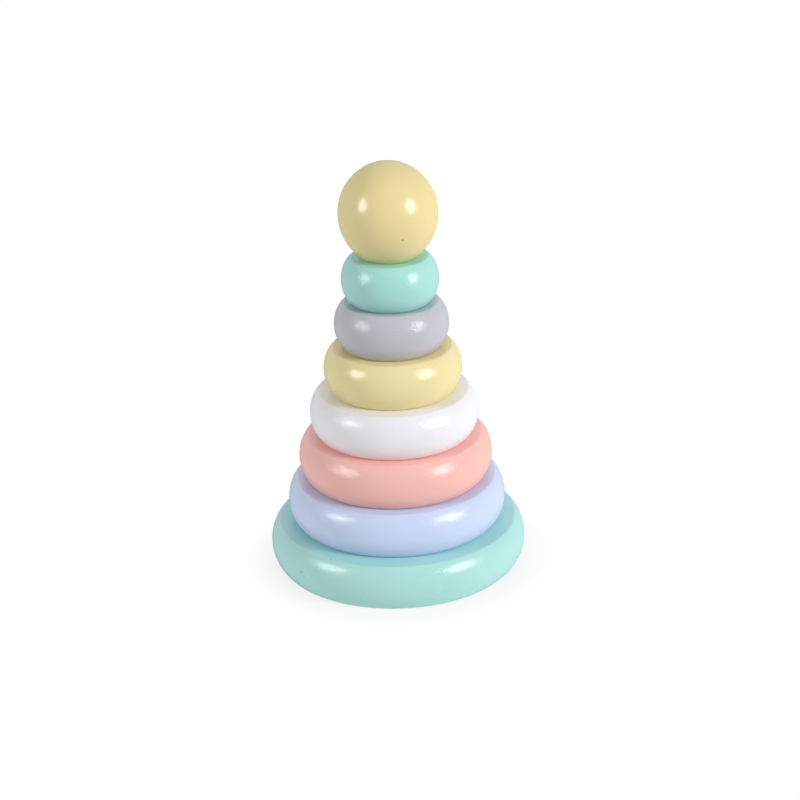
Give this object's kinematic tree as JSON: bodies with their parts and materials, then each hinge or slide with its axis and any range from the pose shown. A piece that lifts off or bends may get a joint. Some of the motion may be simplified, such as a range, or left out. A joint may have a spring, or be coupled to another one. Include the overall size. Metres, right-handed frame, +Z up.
{
  "type": "ring stacker",
  "caption": "Wooden stacking toy: round-edged painted rings of falling size on a post in a disc base, capped by a ball. Rings and ball lift off upwards.",
  "frame": {"origin": "centre of the base's underside", "axes": "+Z up along the post, -Y towards the viewer of the picture"},
  "size_m": [0.112, 0.112, 0.1806],
  "materials": {
    "base_paint": "satin mint-teal paint",
    "bare_beech": "bare sanded beech",
    "lilac_paint": "satin lilac-blue paint",
    "coral_paint": "satin coral-pink paint",
    "white_paint": "satin white paint",
    "yellow_paint": "satin pale-yellow paint",
    "grey_paint": "satin cool-grey paint",
    "mint_paint": "satin mint paint",
    "ball_paint": "smoother satin pale-yellow paint"
  },
  "bodies": {
    "stand": {"base": "base_paint", "post": "bare_beech"},
    "lilac_ring": {"lilac_ring": "lilac_paint"},
    "coral_ring": {"coral_ring": "coral_paint"},
    "white_ring": {"white_ring": "white_paint"},
    "yellow_ring": {"yellow_ring": "yellow_paint"},
    "grey_ring": {"grey_ring": "grey_paint"},
    "mint_ring": {"mint_ring": "mint_paint"},
    "ball": {"ball": "ball_paint"}
  },
  "joints": [
    {"name": "lilac_lift", "type": "slide", "parent": "stand", "child": "lilac_ring", "axis": [0, 0, 1], "range_m": [0, 0.14]},
    {"name": "coral_lift", "type": "slide", "parent": "lilac_ring", "child": "coral_ring", "axis": [0, 0, 1], "range_m": [0, 0.12]},
    {"name": "white_lift", "type": "slide", "parent": "coral_ring", "child": "white_ring", "axis": [0, 0, 1], "range_m": [0, 0.1]},
    {"name": "yellow_lift", "type": "slide", "parent": "white_ring", "child": "yellow_ring", "axis": [0, 0, 1], "range_m": [0, 0.08]},
    {"name": "grey_lift", "type": "slide", "parent": "yellow_ring", "child": "grey_ring", "axis": [0, 0, 1], "range_m": [0, 0.06]},
    {"name": "mint_lift", "type": "slide", "parent": "grey_ring", "child": "mint_ring", "axis": [0, 0, 1], "range_m": [0, 0.04]},
    {"name": "ball_lift", "type": "slide", "parent": "mint_ring", "child": "ball", "axis": [0, 0, 1], "range_m": [0, 0.02]}
  ]
}
